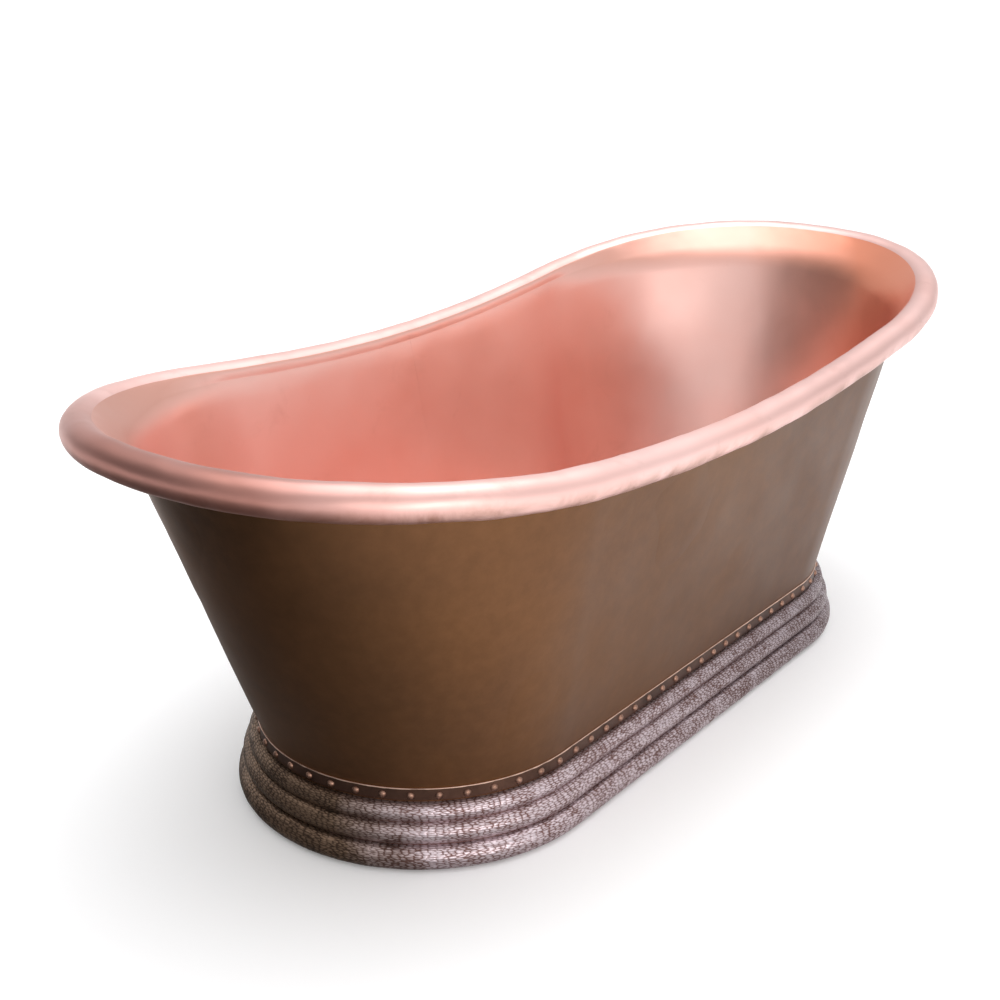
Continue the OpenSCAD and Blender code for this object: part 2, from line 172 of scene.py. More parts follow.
def ring_mesh(name, rings):
    """A closed skin from a (rings, stations, 3) grid that wraps round both ways, in mm."""
    count, n = rings.shape[:2]
    index = np.arange(count * n).reshape(count, n)
    right, below = np.roll(index, -1, 1), np.roll(index, -1, 0)
    corner = np.roll(right, -1, 0)
    faces = np.stack([index, below, corner, right], -1).reshape(-1, 4)
    return quad_object(name, rings.reshape(-1, 3) * MM, faces)


def sheet_mesh(name, rings):
    """A closed skin from a grid that wraps round the section and has two ends, with an even ring count."""
    count, n = rings.shape[:2]
    index = np.arange(count * n).reshape(count, n)
    below = np.roll(index, -1, 0)
    faces = [np.stack([index[:, :-1], below[:, :-1], below[:, 1:], index[:, 1:]], -1).reshape(-1, 4)]
    near, far = np.arange(count // 2 - 1), count - 1 - np.arange(count // 2 - 1)
    for station, order in ((0, (0, 3, 2, 1)), (n - 1, (0, 1, 2, 3))):
        cap = np.stack([index[near, station], index[near + 1, station],
                        index[far - 1, station], index[far, station]], -1)
        faces.append(cap[:, list(order)])
    return quad_object(name, rings.reshape(-1, 3) * MM, np.concatenate(faces))


def quad_object(name, verts, faces):
    """A smooth-shaded object of four-sided faces, with its sharp edges marked."""
    mesh = bpy.data.meshes.new(name)
    mesh.vertices.add(len(verts))
    mesh.vertices.foreach_set("co", np.ascontiguousarray(verts, np.float32).ravel())
    mesh.loops.add(faces.size)
    mesh.loops.foreach_set("vertex_index", np.ascontiguousarray(faces, np.int32).ravel())
    mesh.polygons.add(len(faces))
    mesh.polygons.foreach_set("loop_start", np.arange(0, faces.size, faces.shape[1], dtype=np.int32))
    mesh.polygons.foreach_set("use_smooth", np.ones(len(faces), bool))
    mesh.update(calc_edges=True)
    mesh.validate()
    mesh.set_sharp_from_angle(angle=math.radians(SHARP_ANGLE))
    obj = bpy.data.objects.new(name, mesh)
    bpy.context.scene.collection.objects.link(obj)
    return obj


def outward(rings, closed=True):
    """Unit normals of a grid that wraps round its section, and round the tub if it is closed."""
    du = np.roll(rings, -1, 1) - np.roll(rings, 1, 1) if closed else np.gradient(rings, axis=1)
    dv = np.roll(rings, -1, 0) - np.roll(rings, 1, 0)
    n = np.cross(dv, du)
    return n / np.maximum(np.linalg.norm(n, axis=-1, keepdims=True), 1e-9)


# ---------- materials ----------

class Shader:
    """A principled material whose inputs are built from places and noise in object space, in metres."""

    def __init__(self, name):
        self.material = bpy.data.materials.new(name)
        self.material.use_nodes = True
        self.tree = self.material.node_tree
        self.surface = self.tree.nodes["Principled BSDF"]
        self.place = self.tree.nodes.new("ShaderNodeTexCoord").outputs["Object"]

    def put(self, node, key, value):
        socket = node.inputs[key]
        if isinstance(value, bpy.types.NodeSocket):
            self.tree.links.new(value, socket)
        else:
            socket.default_value = value

    def node(self, kind, inputs=(), **settings):
        node = self.tree.nodes.new(kind)
        for key, value in settings.items():
            setattr(node, key, value)
        for key, value in dict(inputs).items():
            self.put(node, key, value)
        return node

    def noise(self, scale, detail=4.0, rough=0.55, warp=0.0, stretch=None):
        place = self.place
        if stretch:
            place = self.node("ShaderNodeMapping", {"Vector": place, "Scale": stretch}).outputs[0]
        values = {"Vector": place, "Scale": scale, "Detail": detail, "Roughness": rough, "Distortion": warp}
        return self.node("ShaderNodeTexNoise", values).outputs["Fac"]

    def ramp(self, value, *stops):
        node = self.node("ShaderNodeValToRGB", {"Fac": value})
        elements = node.color_ramp.elements
        while len(elements) < len(stops):
            elements.new(0.5)
        for element, (position, color) in zip(elements, stops):
            element.position = position
            element.color = (*color, 1) if len(color) == 3 else color
        return node.outputs["Color"]

    def range(self, value, a, b, c, d):
        keys = {"Value": value, "From Min": a, "From Max": b, "To Min": c, "To Max": d}
        return self.node("ShaderNodeMapRange", keys).outputs["Result"]

    def math(self, operation, a, b=0.0):
        return self.node("ShaderNodeMath", {0: a, 1: b}, operation=operation).outputs[0]

    def mix(self, factor, a, b, blend="MIX"):
        node = self.node("ShaderNodeMix", data_type="RGBA", blend_type=blend)
        for key, value in ((0, factor), (6, a), (7, b)):
            if isinstance(value, tuple):
                value = (*value, 1)
            self.put(node, key, value)
        return node.outputs[2]

    def along(self, axis):
        return self.node("ShaderNodeSeparateXYZ", {"Vector": self.place}).outputs[axis]

    def facing_up(self):
        normal = self.node("ShaderNodeNewGeometry").outputs["Normal"]
        return self.node("ShaderNodeSeparateXYZ", {"Vector": normal}).outputs["Z"]

    def shade(self, color, value):
        return self.mix(1.0, color, value, "MULTIPLY")

    def bump(self, value, distance, strength=1.0):
        keys = {"Height": value, "Distance": distance, "Strength": strength}
        return self.node("ShaderNodeBump", keys).outputs["Normal"]

    def finish(self, color, metallic, roughness, normal=None):
        values = {"Base Color": color, "Metallic": metallic, "Roughness": roughness}
        if normal is not None:
            values["Normal"] = normal
        for key, value in values.items():
            self.put(self.surface, key, value)
        return self.material


def bare_copper(name, pale, deep, tarnish_and_shade, red, rough):
    """Natural copper: clouds, mottling, tarnished spots; painted shade at the -X end, on slopes, in a redder
    corner.
    """
    s = Shader(name)
    cloud = s.noise(2.4, 2.0, 0.5, 0.4)
    mottle = s.noise(30.0, 6.0, 0.6, 0.3)
    color = s.mix(s.range(cloud, 0.3, 0.7, 0.0, 1.0), deep, pale)
    color = s.mix(s.range(mottle, 0.42, 0.80, 0.0, 0.22), color, deep)
    spots = s.range(s.noise(11.0, 5.0, 0.6, 0.5), 0.60, 0.78, 0.0, 0.22)
    color = s.mix(spots, color, tarnish_and_shade)
    # Painted shade: the -X end is darkened towards the dull tarnished colour.
    drift = s.math("ADD", s.along("X"), s.range(cloud, 0.3, 0.7, -0.06, 0.06))
    color = s.mix(s.range(drift, -0.60, -0.88, 0.0, 0.50), color, tarnish_and_shade)
    # Painted shade: upward slopes such as the lip and the floor's fillet are darkened towards the dull
    # tarnished colour.
    up = s.facing_up()
    sloping = s.math("MULTIPLY", s.range(up, 0.28, 0.55, 0.0, 0.8), s.range(up, 0.97, 0.85, 0.0, 1.0))
    color = s.mix(sloping, color, tarnish_and_shade)
    # Painted shade: a darker, redder zone towards the +X end on the -Y side.
    corner = s.math("SUBTRACT", drift, s.along("Y"))
    color = s.mix(s.range(corner, 0.70, 0.92, 0.0, 0.9), color, red)
    roughness = s.range(s.noise(7.0, 5.0, 0.6), 0.3, 0.7, rough - 0.03, rough + 0.05)
    normal = s.bump(s.noise(260.0, 3.0, 0.6), 0.0002, 0.25)
    return s.finish(color, 1.0, roughness, normal)


def rim_copper(name, pale, deep, tarnish_and_shade, brown, rough):
    """Natural copper that browns towards the rim's underside, with painted shade browning its -X end and
    darkening one corner.
    """
    s = Shader(name)
    cloud = s.noise(4.0, 2.0, 0.5, 0.5)
    color = s.mix(s.range(cloud, 0.3, 0.7, 0.0, 1.0), deep, pale)
    under = s.range(s.facing_up(), 0.2, -0.6, 0.0, 0.85)
    patchy = s.range(s.noise(13.0, 5.0, 0.6, 0.7), 0.36, 0.64, 0.0, 1.0)
    color = s.mix(s.math("MULTIPLY", under, patchy), color, tarnish_and_shade)
    # Painted shade: the -X end turns brown.
    shaded_end = s.range(s.math("ADD", s.along("X"), s.math("MULTIPLY", cloud, 0.1)), -0.66, -0.83, 0.0, 0.85)
    color = s.mix(shaded_end, color, brown)
    # Painted shade: darker towards the +X end and the -Y side.
    corner = s.math("SUBTRACT", s.along("X"), s.along("Y"))
    color = s.shade(color, s.range(corner, 0.25, 0.60, 1.0, 0.84))
    spots = s.range(s.noise(12.0, 5.0, 0.6, 0.4), 0.58, 0.76, 0.0, 0.25)
    color = s.mix(spots, color, tarnish_and_shade)
    roughness = s.range(s.noise(9.0, 5.0, 0.6), 0.3, 0.7, rough - 0.04, rough + 0.06)
    normal = s.bump(s.noise(260.0, 3.0, 0.6), 0.0002, 0.25)
    return s.finish(color, 1.0, roughness, normal)


def patina(name, dark, mid, warm, pale, rough):
    """Antique brown patina with warm clouds, painted shade darkest at the -X end and painted light paler at
    the +X end.
    """
    s = Shader(name)
    cloud = s.noise(1.5, 2.0, 0.5, 0.4)
    second = s.noise(3.4, 3.0, 0.55, 0.4)
    drift = s.math("ADD", s.along("X"), s.range(cloud, 0.3, 0.7, -0.04, 0.04))
    color = s.mix(s.range(cloud, 0.34, 0.66, 0.0, 1.0), dark, mid)
    color = s.mix(s.range(second, 0.44, 0.74, 0.0, 0.7), color, warm)
    # Painted light: paler towards the +X end.
    color = s.mix(s.range(drift, -0.10, 0.35, 0.0, 0.90), color, pale)
    # Painted shade: a ramp along X darkens the colour, most at the -X end.
    depth = ((0.0, 0.14), (0.02, 0.22), (0.06, 0.58), (0.12, 0.47), (0.40, 0.42), (0.48, 0.42), (0.60, 0.34))
    stops = [(at, (value, value, value)) for at, value in depth]
    color = s.shade(color, s.ramp(s.range(drift, -0.9, 0.9, 0.0, 1.0), *stops))
    fine = s.range(s.noise(48.0, 6.0, 0.65), 0.38, 0.72, 0.0, 0.18)
    color = s.mix(fine, color, dark)
    roughness = s.range(s.noise(6.0, 5.0, 0.6), 0.3, 0.7, rough - 0.04, rough + 0.06)
    normal = s.bump(s.noise(150.0, 4.0, 0.6), 0.0003, 0.3)
    return s.finish(color, 1.0, roughness, normal)


def edged(name, dark, mid, bright, edge, rough):
    """Dark strip whose top edge is rubbed bright."""
    s = Shader(name)
    color = s.mix(s.range(s.noise(14.0, 5.0, 0.6, 0.4), 0.35, 0.68, 0.0, 1.0), dark, mid)
    ragged = s.math("ADD", s.along("Z"), s.range(s.noise(60.0, 3.0), 0.3, 0.7, -0.0006, 0.0006))
    color = s.mix(s.range(ragged, edge - 0.0014, edge - 0.0004, 0.0, 1.0), color, bright)
    roughness = s.range(s.noise(30.0, 4.0, 0.6), 0.3, 0.7, rough - 0.05, rough + 0.08)
    normal = s.bump(s.noise(160.0, 4.0, 0.6), 0.0003, 0.4)
    return s.finish(color, 0.9, roughness, normal)


def hammered(name, crest, hollow, shaded_end_crest, shaded_end_hollow):
    """Hammered copper. The worked height kept on the mesh rubs its crests pale; painted shade browns the -X
    end and darkens the +X end.
    """
    s = Shader(name)
    height = s.node("ShaderNodeAttribute", attribute_name="worked").outputs["Fac"]
    grime = s.noise(24.0, 5.0, 0.65, 0.5)
    rubbed = s.math("ADD", height, s.range(grime, 0.3, 0.7, -0.3, 0.25))
    worn = s.range(rubbed, 0.15, 0.85, 0.0, 1.0)
    # Painted shade: the skirt's -X end takes the darker brown colours.
    round_end = s.math("SUBTRACT", s.along("X"), s.math("MULTIPLY", s.along("Y"), 0.6))
    brown = s.range(s.math("ADD", round_end, s.math("MULTIPLY", grime, 0.12)), -0.42, -0.56, 0.0, 1.0)
    color = s.mix(brown, s.mix(worn, hollow, crest), s.mix(worn, shaded_end_hollow, shaded_end_crest))
    # Painted shade: darker towards the +X end.
    color = s.shade(color, s.range(s.along("X"), -0.45, 0.35, 1.0, 0.55))
    roughness = s.range(rubbed, 0.1, 0.9, 0.55, 0.3)
    normal = s.bump(s.noise(420.0, 3.0, 0.6), 0.0003, 0.4)
    return s.finish(color, 0.9, roughness, normal)


def plain(name, color, other, metallic, rough, scale=40.0, bump=0.0003, stretch=None):
    """A turned, plated, painted or moulded surface with slight variation."""
    s = Shader(name)
    tone = s.range(s.noise(scale, 5.0, 0.6, 0.2, stretch), 0.35, 0.7, 0.0, 1.0)
    roughness = s.range(s.noise(scale * 2.3, 4.0, 0.6), 0.3, 0.7, rough - 0.06, rough + 0.08)
    normal = s.bump(s.noise(scale * 9, 3.0, 0.6, 0.0, stretch), bump, 0.4)
    return s.finish(s.mix(tone, color, other), metallic, roughness, normal)


MATERIALS = {
    # Natural copper: its third colour also stands for painted shade, and its fourth colour is painted shade
    # in one corner.
    "natural_copper": bare_copper("natural_copper", (0.96, 0.64, 0.58), (0.92, 0.55, 0.48),
                                  (0.62, 0.31, 0.24), (0.76, 0.28, 0.17), 0.36),
    # Rim copper: the fourth colour is the painted shade of the -X end.
    "rim_copper": rim_copper("rim_copper", (0.92, 0.64, 0.60), (0.85, 0.54, 0.49),
                             (0.34, 0.16, 0.10), (0.36, 0.145, 0.110), 0.43),
    # Patina copper: the fourth colour is the painted light of the +X end.
    "patina_copper": patina("patina_copper", (0.310, 0.145, 0.068), (0.370, 0.178, 0.084),
                            (0.390, 0.178, 0.072), (0.345, 0.174, 0.102), 0.42),
    "band_copper": edged("band_copper", (0.060, 0.030, 0.021), (0.12, 0.062, 0.043),
                         (0.72, 0.50, 0.40), BAND_TOP * MM, 0.36),
    "rivet_copper": plain("rivet_copper", (0.36, 0.21, 0.155), (0.22, 0.12, 0.085), 1.0, 0.30, 160.0),
    # Hammered copper: the last two colours are the painted shade of the skirt's -X end.
    "hammered_copper": hammered("hammered_copper", (0.64, 0.54, 0.57), (0.18, 0.095, 0.085),
                                (0.23, 0.150, 0.100), (0.055, 0.033, 0.022)),
    "drain_copper": plain("drain_copper", (0.80, 0.46, 0.36), (0.70, 0.37, 0.28), 1.0, 0.22, 60.0),
    "brass": plain("brass", (0.75, 0.56, 0.27), (0.62, 0.43, 0.18), 1.0, 0.28, 60.0),
    "black_steel": plain("black_steel", (0.028, 0.028, 0.030), (0.045, 0.043, 0.042), 0.0, 0.45, 30.0),
    "zinc_steel": plain("zinc_steel", (0.60, 0.61, 0.62), (0.48, 0.49, 0.50), 1.0, 0.34, 90.0),
    "seal_rubber": plain("seal_rubber", (0.020, 0.020, 0.021), (0.035, 0.034, 0.033), 0.0, 0.62, 80.0),
    "pad_rubber": plain("pad_rubber", (0.025, 0.025, 0.026), (0.045, 0.043, 0.041), 0.0, 0.68, 60.0),
    "fibre": plain("fibre", (0.36, 0.26, 0.16), (0.27, 0.19, 0.11), 0.0, 0.8, 120.0),
}

for part in frame["record"]["subparts"]:
    node = frame["nodes"][part["node"]]
    node.data.materials.clear()
    node.data.materials.append(MATERIALS[part["material_slot"]])


def dress(piece, slot_name, *nodes):
    """The piece rides on the tub, stands for its CAD nodes and takes their slot's material."""
    piece.data.materials.append(MATERIALS[slot_name])
    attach(piece, "tub")
    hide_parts(*nodes)


# ---------- rolled rim ----------

def rim_dents(points):
    """How far hand work has sunk the rolled rim, always inward."""
    return ripples(points, 110, seed=11) * 0.35 + ripples(points, 34, seed=12) * 0.10 - 0.95


def make_rim():
    """The rolled rim, a C-shaped section round the mouth."""
    wall = Wall(*stations(*FINE))
    section_steps = 48
    angles = np.linspace(ROLL_START, ROLL_END, section_steps + 1)
    outer = np.stack([wall.roll(RIM_R, a) for a in angles])
    inner = np.stack([wall.roll(RIM_R - BASIN_T, a) for a in angles[::-1]])
    rings = np.concatenate([outer, inner])
    direction = rings - wall.rim[None]
    direction /= np.linalg.norm(direction, axis=-1, keepdims=True)
    return ring_mesh("rolled_rim", rings + direction * rim_dents(rings)[..., None])


# ---------- basin and jacket ----------

BASIN_OUT = JACKET_T + WALL_GAP
BASIN_IN = BASIN_OUT + BASIN_T


def basin_dents(points):
    """Gentle unevenness of the hand-worked basin."""
    return ripples(points, 170, seed=21) * 0.28 + ripples(points, 62, seed=22) * 0.05


def make_basin_wall(half):
    """One of the two bent sheets of the basin's wall: 0 at the +X end, 1 at the -X end."""
    wall = Wall(*half_stations(*FINE))
    lip, bend, straight = 12, 18, 60
    turn = np.array([-1.0, -1.0, 1.0]) if half else np.ones(3)
    rim_z = wall.rim[:, 2]
    knee_z, end_z = rim_z - wall.between(*LIP_KNEE), rim_z - wall.between(*LIP_DROP)
    off_roll = 5.0

    def face(inset, low):
        start = math.radians(ROLL_START + SEAM)
        edge = wall.roll(RIM_R - low, ROLL_START + SEAM)
        leaving = edge - off_roll * math.sin(start) * wall.normal + wall.up(off_roll * math.cos(start))
        knee = wall.wall(knee_z, inset)
        foot = FLOOR_Z + FLOOR_FILLET + FIT
        down = knee + (edge - knee) * LIP_BEND
        rings = [bezier(edge, leaving, down, k / lip) for k in range(lip)]
        rings += [bezier(down, knee, wall.wall(end_z, inset), k / bend) for k in range(bend + 1)]
        rings += [wall.wall(end_z * (1 - k / straight) + foot * (k / straight), inset)
                  for k in range(1, straight + 1)]
        return np.stack(rings)

    inner = face(BASIN_IN, 0)
    rings = np.concatenate([inner, face(BASIN_OUT, BASIN_T)[::-1]])
    radial = rings - wall.rim[None]
    radial /= np.linalg.norm(radial, axis=-1, keepdims=True)
    middle, count = len(inner), len(rings)
    from_lip = np.minimum(np.arange(count), count - 1 - np.arange(count)) / (lip + bend)
    blend = np.clip(from_lip, 0, 1)[:, None]
    side = np.where(np.arange(count) < middle, 1, -1)[:, None]
    skin = outward(rings, closed=False)
    skin[middle - 1] = skin[middle - 2]
    skin[middle] = skin[middle + 1]
    place = rings * turn
    like_rim = (rim_dents(place) * (1 - blend))[..., None] * radial
    like_basin = (side * basin_dents(place) * blend)[..., None] * skin
    return sheet_mesh(f"basin_wall_shell_{half + 1}", (rings + like_rim + like_basin) * turn)


def make_basin_floor():
    """The floor pan: the turn up to the wall, the flat, the dish round the waste and its seat."""
    wall = Wall(*stations(*FINE))
    fillet, floor, dish, seat = 18, 30, 10, 6
    still, fade = 16, 10

    def face(inset, low):
        r = FLOOR_FILLET + low
        turn = np.linspace(0, math.pi / 2, fillet + 1)
        rings = [wall.wall(FLOOR_Z - low + r * (1 - math.sin(a)) + 0 * wall.angle,
                           inset + r * (1 - math.cos(a))) for a in turn]
        edge = rings[-1]
        foot = wall.base(BASE_R, 0)
        bearing = np.arctan2(foot[:, 1], foot[:, 0])

        def circle(radius, z):
            return np.stack([radius * np.cos(bearing), radius * np.sin(bearing), 0 * bearing + z], 1)

        brim = circle(DISH_R, FLOOR_Z - low)
        rings += [edge + (brim - edge) * (k / floor) for k in range(1, floor + 1)]
        for k in range(1, dish + 1):
            drop = DISH_DEPTH * (1 - math.cos(math.pi * k / dish)) / 2
            rings.append(circle(DISH_R + (DISH_SEAT_R - DISH_R) * k / dish, FLOOR_Z - low - drop))
        rings += [circle(DISH_SEAT_R + (WASTE_HOLE_R - DISH_SEAT_R) * k / seat, FLOOR_Z - low - DISH_DEPTH)
                  for k in range(1, seat + 1)]
        return np.stack(rings)

    inner = face(BASIN_IN, 0)
    rings = np.concatenate([inner, face(BASIN_OUT, BASIN_T)[::-1]])
    middle, count = len(inner), len(rings)
    away = np.clip((np.abs(np.arange(count) - middle + 0.5) - still) / fade, 0, 1)[:, None]
    side = np.where(np.arange(count) < middle, 1, -1)[:, None]
    skin = outward(rings)
    skin[0], skin[-1] = skin[1], skin[-2]
    height = side * basin_dents(rings) * away
    return ring_mesh("basin_floor_pan", rings + skin * height[..., None])


def make_jacket():
    """The outer sheet: an upright hem behind the band, the leaning wall, and a cove up to the rim."""
    wall = Wall(*stations(*COARSE))
    low, straight, cove = 6, 60, 12
    rim_z = wall.rim[:, 2]

    def face(inset):
        foot = wall.base(JACKET_R - inset, 0)
        hem = SKIRT_TOP + FIT
        rings = [np.column_stack([foot[:, :2], 0 * rim_z + hem + (BAND_TOP - hem) * k / low])
                 for k in range(low + 1)]
        top = rim_z - COVE_DROP
        rings += [wall.wall(BAND_TOP + (top - BAND_TOP) * k / straight, inset)
                  for k in range(1, straight + 1)]
        leaving, knee = wall.wall(top, inset), wall.wall(rim_z - COVE_KNEE, inset)
        under_rim = wall.roll(RIM_R + FIT, COVE_END - 3 * inset)
        rings += [bezier(leaving, knee, under_rim, k / cove) for k in range(1, cove + 1)]
        return np.stack(rings)

    rings = np.concatenate([face(0), face(JACKET_T)[::-1]])
    worked = ripples(rings, 260, seed=31) * 0.5 + ripples(rings, 90, seed=32) * 0.12
    hem_rings, half = 14, len(rings) // 2
    from_hem = np.clip(np.linspace(-0.8, 1, hem_rings), 0, 1)
    fade = np.ones(len(rings))
    fade[:hem_rings], fade[-hem_rings:] = from_hem, from_hem[::-1]
    fade[half - cove:half + cove] = np.abs(np.linspace(-1, 1, 2 * cove))
    moved = rings + outward(rings) * (worked * fade[:, None])[..., None]
    return ring_mesh("jacket_shell", moved)


# ---------- plinth ----------

HAMMER_STEP = 1.9       # spacing of the skirt mesh's stations
MARK_L, MARK_H, MARK_DEPTH = 10.0, 3.4, 0.6     # a hammer mark's length along the bead, height and depth


def base_outline(step):
    """Points round the base's stadium: place along the straight, angle, and arc length."""
    side, arc = 2 * BASE_STRAIGHT, math.pi * (BASE_R + 20)
    n_side, n_arc = round(side / step), round(arc / step)
    angle = np.concatenate([np.linspace(-90, 90, n_arc, endpoint=False), np.full(n_side, 90.0),
                            np.linspace(90, 270, n_arc, endpoint=False), np.full(n_side, 270.0)])
    run = np.linspace(1, -1, n_side, endpoint=False)
    place = np.concatenate([np.ones(n_arc), run, -np.ones(n_arc), -run])
    length = np.arange(len(angle)) * (2 * (side + arc) / len(angle))
    return np.radians(angle), place, length, 2 * (side + arc)


def sweep(profile, step):
    """Rings of a section (out from the band, up) swept round the base."""
    angle, place, length, total = base_outline(step)
    rings = []
    for out, up in profile:
        r = BASE_R + out
        rings.append(np.stack([place * BASE_STRAIGHT + r * np.cos(angle), r * np.sin(angle),
                               0 * angle + up], 1))
    return np.stack(rings), length, total


def arc(centre, r, a, b, count):
    """Points of an arc from angle a to b, in degrees."""
    t = np.radians(np.linspace(a, b, count))
    return [(centre[0] + r * math.cos(v), centre[1] + r * math.sin(v)) for v in t]


def meeting(one, two):
    """Where two bead circles cross on the outside: the angle on each, in degrees."""
    d = np.array(two[:2]) - np.array(one[:2])
    gap = np.hypot(*d)
    a = (one[2] ** 2 - two[2] ** 2 + gap ** 2) / (2 * gap)
    h = math.sqrt(max(one[2] ** 2 - a ** 2, 0))
    u = d / gap
    p = np.array(one[:2]) + a * u + h * np.array([-u[1], u[0]])
    return [math.degrees(math.atan2(p[1] - c[1], p[0] - c[0])) for c in (one, two)]


def skirt_profile():
    """The skirt's section, as its outer and inner faces: three beads over a hem on the floor."""
    one, two, three = BEADS
    a1, a2 = meeting(one, two)
    b2, b3 = meeting(two, three)
    outer = [(-3.0, SKIRT_TOP), (-1.0, SKIRT_TOP)] + arc(one, one[2], 90, a1, 46)
    outer += arc(two, two[2], a2, b2, 46)[1:] + arc(three, three[2], b3, -90, 56)[1:]
    outer += [(8.0, 0.0), (0.0, 0.0), (-HEM_W, 0.0)]
    inner = [(-HEM_W, SKIRT_T), (6.0, SKIRT_T)]
    inner += arc(three, three[2] - SKIRT_T, -90, b3 - 4, 18)
    inner += arc(two, two[2] - SKIRT_T, b2 + 4, a2 - 4, 14)
    inner += arc(one, one[2] - SKIRT_T, a1 + 4, 90, 14) + [(-3.0, SKIRT_TOP - SKIRT_T)]
    return outer, inner


def hammer_marks(length, total, down, cell_s, cell_t, seed):
    """Worked height: 0 in the grooves between the strokes, up to 1 on the faces they leave."""
    columns = max(int(round(total / cell_s)), 1)
    size = total / columns
    rng = np.random.RandomState(seed)
    rows = int(down.max() / cell_t) + 4
    jitter = rng.uniform(0.08, 0.92, (rows, columns, 2))
    depth = rng.uniform(0.72, 1.0, (rows, columns))
    s, t = np.meshgrid(length / size, down / cell_t + 1)
    base_s, base_t = np.floor(s).astype(int), np.floor(t).astype(int)
    near = np.full(s.shape, 9.0)
    second = np.full(s.shape, 9.0)
    deep = np.zeros(s.shape)
    for dt in (-1, 0, 1):
        for ds in (-1, 0, 1):
            cs, ct = base_s + ds, np.clip(base_t + dt, 0, rows - 1)
            mark = jitter[ct, cs % columns]
            distance = np.hypot(s - (cs + mark[..., 0]), t - (ct + mark[..., 1]))
            closer = distance < near
            second = np.where(closer, near, np.minimum(second, distance))
            deep = np.where(closer, depth[ct, cs % columns], deep)
            near = np.where(closer, distance, near)
    return np.clip((second - near) / 0.38, 0, 1) * deep


def make_skirt():
    """The hammered skirt, with the worked height kept on the mesh for its material."""
    outer, inner = skirt_profile()
    profile = np.array(outer + inner)
    rings, length, total = sweep(profile, HAMMER_STEP)
    n_outer = len(outer)
    down = np.concatenate([[0], np.cumsum(np.hypot(*np.diff(profile[:n_outer], axis=0).T))])
    marks = hammer_marks(length, total, down, MARK_L, MARK_H, seed=41)
    fade = np.clip(down / 5, 0, 1) * np.clip((down[-4] - 6 - down) / 8, 0, 1)
    worked = np.zeros(rings.shape[:2])
    worked[:n_outer] = marks
    depth = np.zeros(rings.shape[:2])
    depth[:n_outer] = (marks - 1) * MARK_DEPTH * fade[:, None]
    depth[:n_outer] += (ripples(rings[:n_outer], 45, seed=42) - 2) * 0.12 * fade[:, None]
    moved = rings + outward(rings) * depth[..., None]
    piece = ring_mesh("plinth_shell", moved)
    attribute = piece.data.attributes.new("worked", "FLOAT", "POINT")
    attribute.data.foreach_set("value", worked.astype(np.float32).ravel())
    return piece


def make_band():
    """The riveted strip, with rounded edges and a slightly uneven face."""
    round_edge, step = 0.5, 5.0
    z0, z1 = BAND_BOTTOM, BAND_TOP
    face = [(-round_edge, z0)] + arc((-round_edge, z0 + round_edge), round_edge, -90, 0, 5)
    face += [(0, z0 + (z1 - z0) * k / 14) for k in range(1, 14)]
    face += arc((-round_edge, z1 - round_edge), round_edge, 0, 90, 5)
    back = [(-BAND_T, z1 - (z1 - z0) * k / 4) for k in range(5)]
    rings = sweep(np.array(face[1:] + back), step)[0]
    dents = (ripples(rings, 40, seed=51) - 2) * 0.1
    dents[-5:] = 0
    return ring_mesh("riveted_band", rings + outward(rings) * dents[..., None])


def rivet_section():
    """Radius and height of a rivet's outline: domed head, shank through the sheets, and upset tail."""
    r, head_h, centre_r = RIVET_D / 2, RIVET_D * 0.38, 0.02
    dome = (r * r + head_h * head_h) / (2 * head_h)
    limit = math.asin(r / dome)
    grip, shank_r, tail_r, tail_h = 8.3, 2.4, 4.2, 2.0
    section = [(centre_r, head_h)]
    section += [(dome * math.sin(limit * k / 9), head_h - dome + dome * math.cos(limit * k / 9))
                for k in range(1, 10)]
    section += [(r, FIT), (shank_r, FIT), (shank_r, -grip), (tail_r, -grip)]
    section += [(tail_r, -grip - tail_h), (centre_r, -grip - tail_h - 0.3)]
    return np.array(section)


def rivet_seat(i):
    """Where rivet i sits on the band, and the way it faces."""
    side, half = 2 * BASE_STRAIGHT, 2 * BASE_STRAIGHT + math.pi * BASE_R
    t = (BASE_STRAIGHT + (0.5 + i) / RIVETS * 2 * half) % (2 * half)
    u = t % half
    angle = 0 if u < side else (u - side) / BASE_R
    out = np.array([-math.sin(angle), math.cos(angle), 0])
    seat = np.array([BASE_STRAIGHT - u if u < side else -BASE_STRAIGHT, 0, RIVET_Z]) + out * BASE_R
    turn = np.array([-1.0, -1.0, 1.0]) if t >= half else np.ones(3)
    return seat * turn, out * turn


def make_rivets():
    """Every rivet as a solid of its own, each struck a little differently."""
    section = rivet_section()
    radius, height = section[:, 0][:, None], section[:, 1]
    around = 28
    turn = np.linspace(0, 2 * math.pi, around, endpoint=False)
    rng = np.random.RandomState(61)
    index = np.arange(len(section) * around).reshape(len(section), around)
    right = np.roll(index, -1, 1)
    quads = np.stack([index[:-1], index[1:], right[1:], right[:-1]], -1).reshape(-1, 4)
    up = np.array([0, 0, 1.0])
    verts, faces = [], []
    for i in range(RIVETS):
        seat, out = rivet_seat(i)
        across = np.array([-out[1], out[0], 0])
        wobble = 1 + 0.035 * np.cos(2 * turn + rng.uniform(0, 6.3)) + rng.uniform(-0.03, 0.0)
        squash = rng.uniform(0.86, 0.99)
        uneven = radius * np.where(height[:, None] > -1, np.minimum(wobble, 1)[None], 1)
        raised = np.where(height > FIT, (height - FIT) * squash + FIT, height)
        points = (seat + out * raised[:, None, None]
                  + across * (uneven * np.cos(turn))[..., None] + up * (uneven * np.sin(turn))[..., None])
        verts.append(points.reshape(-1, 3))
        faces.append(quads + i * index.size)
    return quad_object("rivet_heads", np.concatenate(verts) * MM, np.concatenate(faces))


